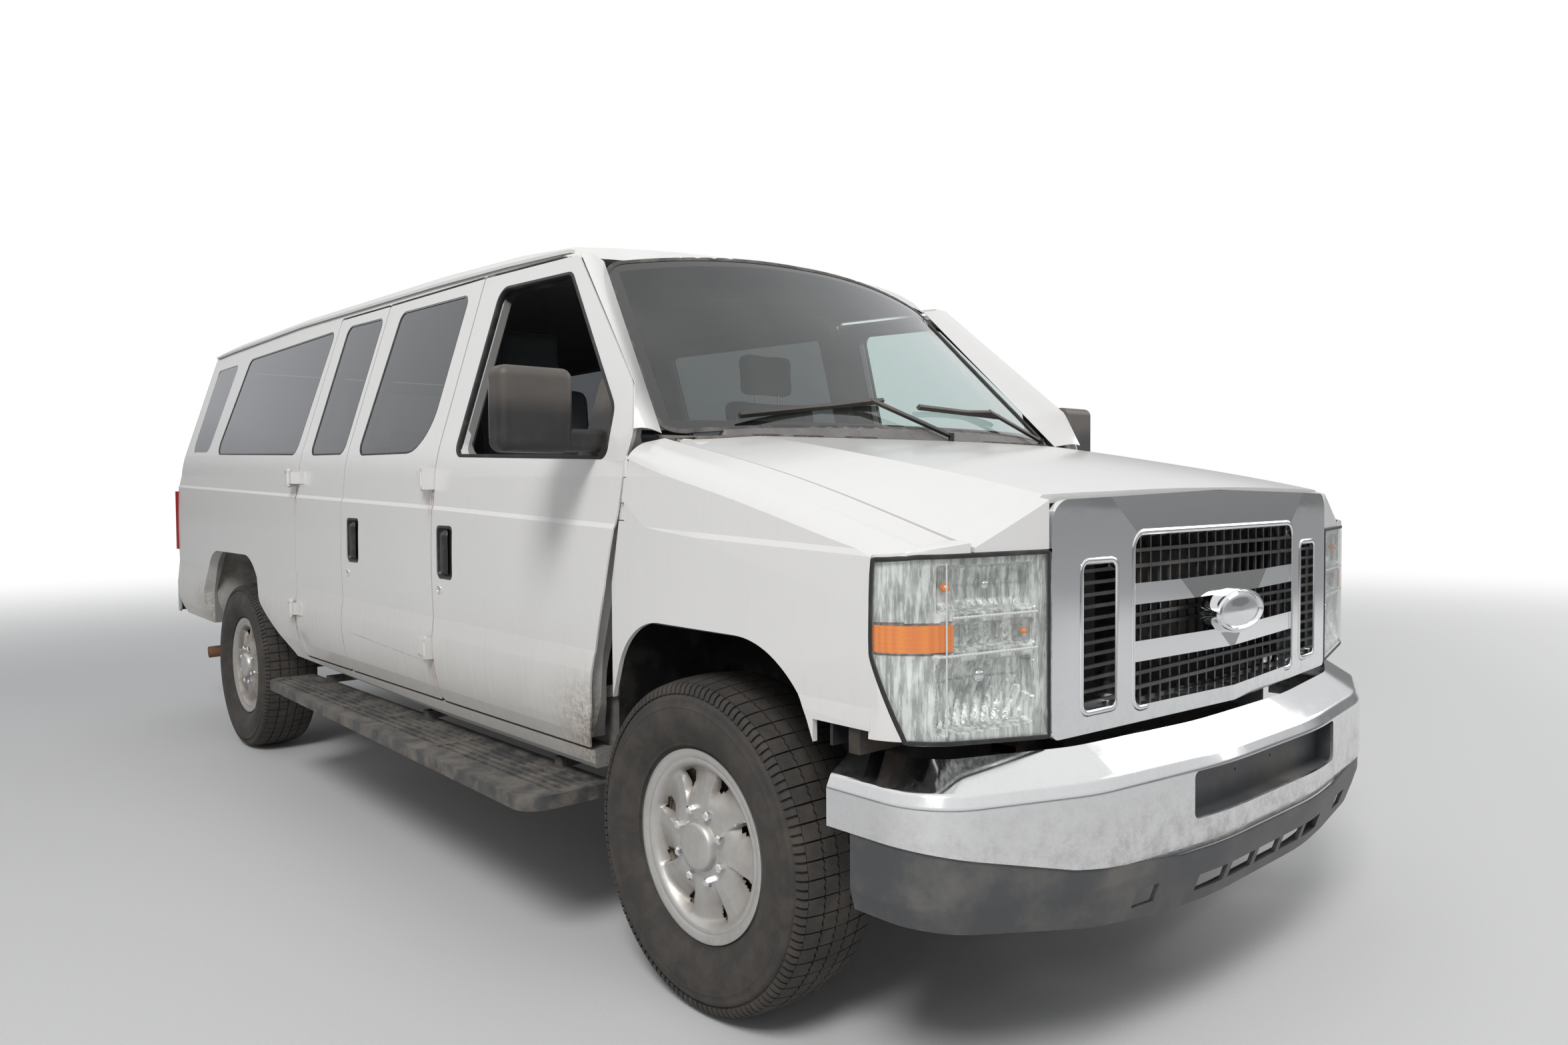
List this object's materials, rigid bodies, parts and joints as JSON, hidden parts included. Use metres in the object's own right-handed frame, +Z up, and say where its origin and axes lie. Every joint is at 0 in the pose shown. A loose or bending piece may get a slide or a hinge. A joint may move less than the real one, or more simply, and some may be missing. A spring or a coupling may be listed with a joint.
{
  "type": "passenger minibus",
  "caption": "Full-size passenger minibus with a short nose, hinged side cargo doors, twin rear doors and a ladder frame; wheels roll and steer, doors and hood open.",
  "frame": {"origin": "on the ground, below the middle of the bounding box", "axes": "+Z up, the van faces -Y, its left (driver) side is +X"},
  "size_m": [2.504, 5.544, 2.06],
  "materials": {
    "white_paint": "gloss white paint, dusty low down",
    "dark_glass": "black privacy glass",
    "clear_glass": "clear, faintly green",
    "lamp_glass": "clear moulded",
    "reflector": "bright reflector",
    "chrome": "polished",
    "black_plastic": "satin black",
    "grey_plastic": "matt grey, grained",
    "cowl_plastic": "faded grey",
    "frame_steel": "black frame paint with surface rust",
    "cast_metal": "dull, lightly rusted",
    "exhaust_steel": "rusted",
    "silver_cover": "silver, satin",
    "tyre": "worn, brownish",
    "floor_paint": "grey sealed sheet",
    "trim_plastic": "dark grey interior",
    "seat_fabric": "dark grey cloth",
    "tail_red": "red moulded lens",
    "mirror_black": "satin black"
  },
  "bodies": {
    "body": {"floor_pan": "floor_paint", "roof": "white_paint", "side_left": "white_paint", "side_right": "white_paint", "rear_frame": "white_paint", "firewall": "floor_paint", "cowl_panel": "cowl_plastic", "fender_left": "white_paint", "fender_right": "white_paint", "wheel_liners": "black_plastic", "radiator": "frame_steel", "grille_surround": "chrome", "grille_insert": "black_plastic", "headlamp_buckets": "reflector", "headlamp_lenses": "lamp_glass", "front_bumper": "chrome", "front_valance": "grey_plastic", "rear_bumper": "chrome", "windshield": "clear_glass", "side_glass": "dark_glass", "frame": "frame_steel", "engine_block": "cast_metal", "engine_cover": "trim_plastic", "front_axle": "cast_metal", "rear_axle": "cast_metal", "exhaust": "exhaust_steel", "fuel_tank": "black_plastic", "running_boards": "black_plastic", "dashboard": "trim_plastic", "steering_wheel": "trim_plastic", "seat_bases": "trim_plastic", "front_seats": "seat_fabric", "rear_benches": "seat_fabric", "wipers": "mirror_black", "tail_lamps": "tail_red"},
    "hood": {"hood": "white_paint"},
    "front_door_left": {"front_door_left": "white_paint", "door_glass_left": "clear_glass", "mirror_left": "mirror_black"},
    "front_door_right": {"front_door_right": "white_paint", "mirror_right": "mirror_black"},
    "cargo_front_leaf": {"cargo_front_door": "white_paint", "cargo_front_glass": "dark_glass"},
    "cargo_rear_leaf": {"cargo_rear_door": "white_paint", "cargo_rear_glass": "dark_glass"},
    "rear_door_left": {"rear_door_left": "white_paint", "rear_glass_left": "dark_glass"},
    "rear_door_right": {"rear_door_right": "white_paint", "rear_glass_right": "dark_glass"},
    "steering_knuckle_left": {"knuckle_left": "cast_metal"},
    "steering_knuckle_right": {"knuckle_right": "cast_metal"},
    "front_wheel_left": {"wheel_front_left": "silver_cover", "tyre_front_left": "tyre"},
    "front_wheel_right": {"wheel_front_right": "silver_cover", "tyre_front_right": "tyre"},
    "rear_wheel_left": {"wheel_rear_left": "silver_cover", "tyre_rear_left": "tyre"},
    "rear_wheel_right": {"wheel_rear_right": "silver_cover", "tyre_rear_right": "tyre"}
  },
  "joints": [
    {"name": "steering", "type": "hinge", "parent": "body", "child": "steering_knuckle_left", "pos_m": [0.815, -1.871, 0.385], "axis": [0, 0, 1], "range_deg": [-35, 35]},
    {"name": "steering_right", "type": "hinge", "parent": "body", "child": "steering_knuckle_right", "pos_m": [-0.815, -1.871, 0.385], "axis": [0, 0, 1], "range_deg": [-35, 35]},
    {"name": "front_wheel_left_spin", "type": "hinge", "parent": "steering_knuckle_left", "child": "front_wheel_left", "pos_m": [0.868, -1.871, 0.385], "axis": [1, 0, 0], "continuous": true},
    {"name": "front_wheel_right_spin", "type": "hinge", "parent": "steering_knuckle_right", "child": "front_wheel_right", "pos_m": [-0.868, -1.871, 0.385], "axis": [1, 0, 0], "continuous": true},
    {"name": "rear_wheel_left_spin", "type": "hinge", "parent": "body", "child": "rear_wheel_left", "pos_m": [0.85, 1.634, 0.385], "axis": [1, 0, 0], "continuous": true},
    {"name": "rear_wheel_right_spin", "type": "hinge", "parent": "body", "child": "rear_wheel_right", "pos_m": [-0.85, 1.634, 0.385], "axis": [1, 0, 0], "continuous": true},
    {"name": "hood_hinge", "type": "hinge", "parent": "body", "child": "hood", "pos_m": [0, -1.657, 1.32], "axis": [-1, 0, 0], "range_deg": [0, 50]},
    {"name": "front_door_left_hinge", "type": "hinge", "parent": "body", "child": "front_door_left", "pos_m": [0.98, -1.63, 1.2], "axis": [0, 0, -1], "range_deg": [0, 65]},
    {"name": "front_door_right_hinge", "type": "hinge", "parent": "body", "child": "front_door_right", "pos_m": [-0.98, -1.63, 1.2], "axis": [0, 0, 1], "range_deg": [0, 65]},
    {"name": "cargo_front_hinge", "type": "hinge", "parent": "body", "child": "cargo_front_leaf", "pos_m": [-1.022, -0.555, 0.972], "axis": [0, 0, 1], "range_deg": [0, 90]},
    {"name": "cargo_rear_hinge", "type": "hinge", "parent": "body", "child": "cargo_rear_leaf", "pos_m": [-1.022, 0.714, 0.994], "axis": [0, 0, -1], "range_deg": [0, 90]},
    {"name": "rear_door_left_hinge", "type": "hinge", "parent": "body", "child": "rear_door_left", "pos_m": [0.794, 2.686, 1.066], "axis": [0, 0, -1], "range_deg": [0, 175]},
    {"name": "rear_door_right_hinge", "type": "hinge", "parent": "body", "child": "rear_door_right", "pos_m": [-0.794, 2.686, 1.066], "axis": [0, 0, 1], "range_deg": [0, 175]}
  ],
  "couplings": [
    {"joint": "steering_right", "follows": "steering", "ratio": 1}
  ]
}
